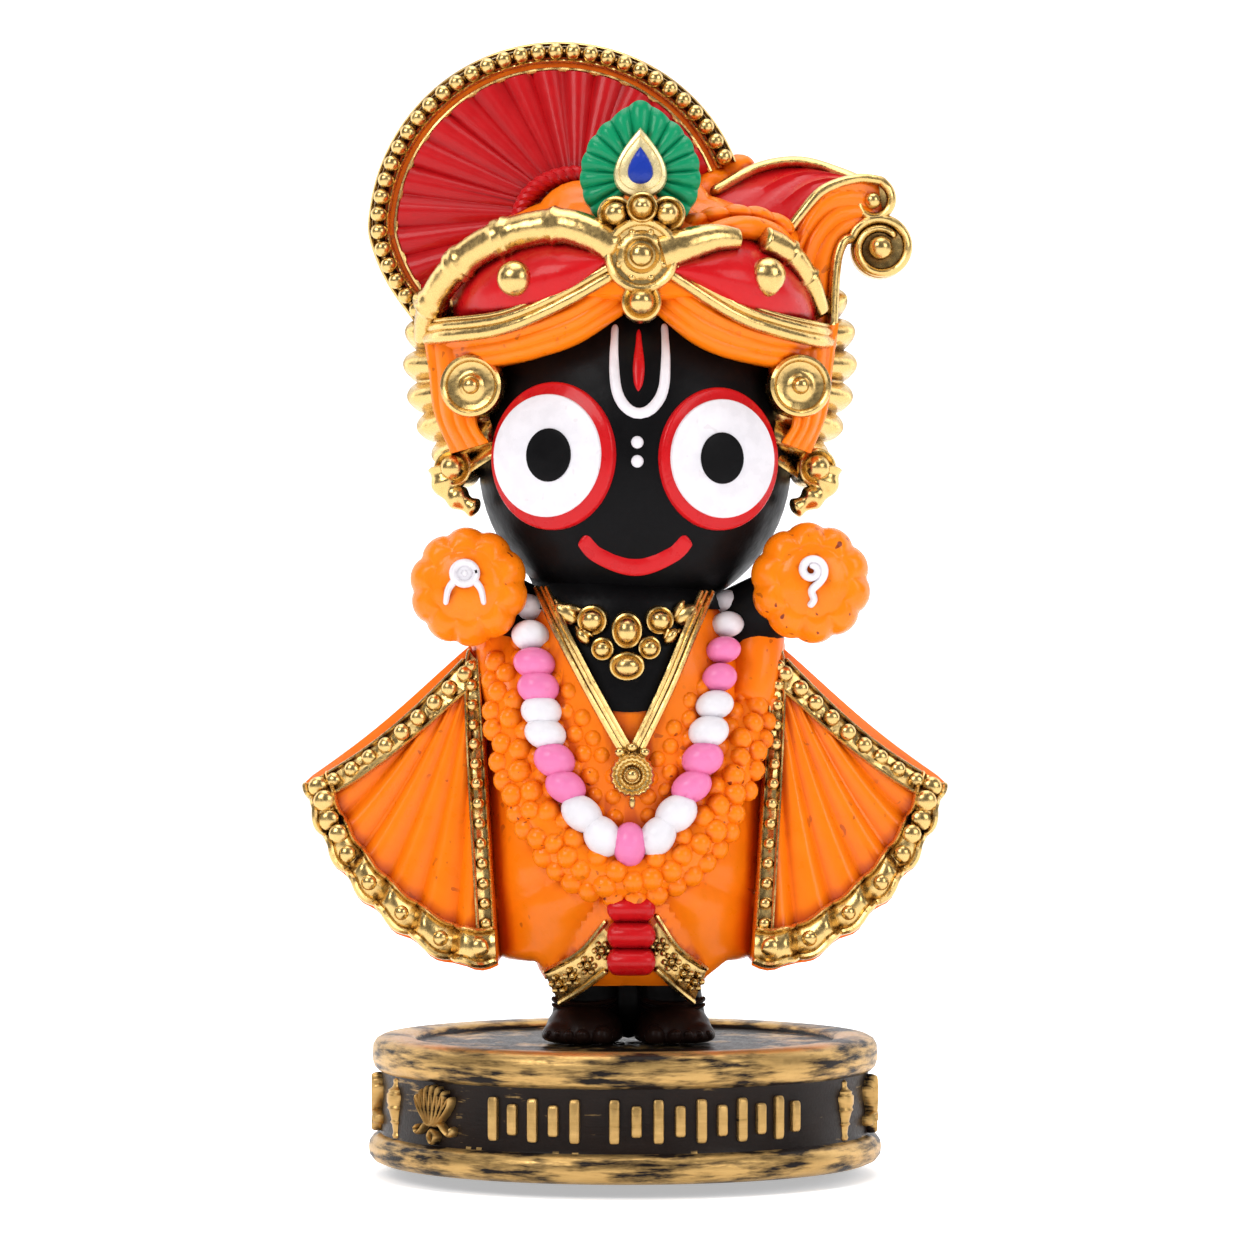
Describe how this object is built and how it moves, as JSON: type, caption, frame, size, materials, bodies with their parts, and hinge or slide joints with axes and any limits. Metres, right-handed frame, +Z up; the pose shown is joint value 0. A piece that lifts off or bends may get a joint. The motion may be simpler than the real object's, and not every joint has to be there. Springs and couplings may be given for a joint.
{
  "type": "jagannath figure",
  "caption": "Small painted and gilt standing figurine with large round eyes, a fan turban and a pleated cape, on a round relief plinth.",
  "frame": {"origin": "centre of the plinth's underside", "axes": "+Z up to the feather and fan, -Y out of the face, +X to the viewer's right when facing it"},
  "size_m": [0.065, 0.0512, 0.1119],
  "materials": {
    "painted_figure": "gloss enamel paint over cast resin, with bright gold plating on the raised borders and jewels",
    "antique_gilt_plinth": "dark brown cast resin, with gold brushed over the rims and the raised emblems"
  },
  "bodies": {
    "root": {"figure": "painted_figure", "plinth": "antique_gilt_plinth"}
  },
  "joints": []
}
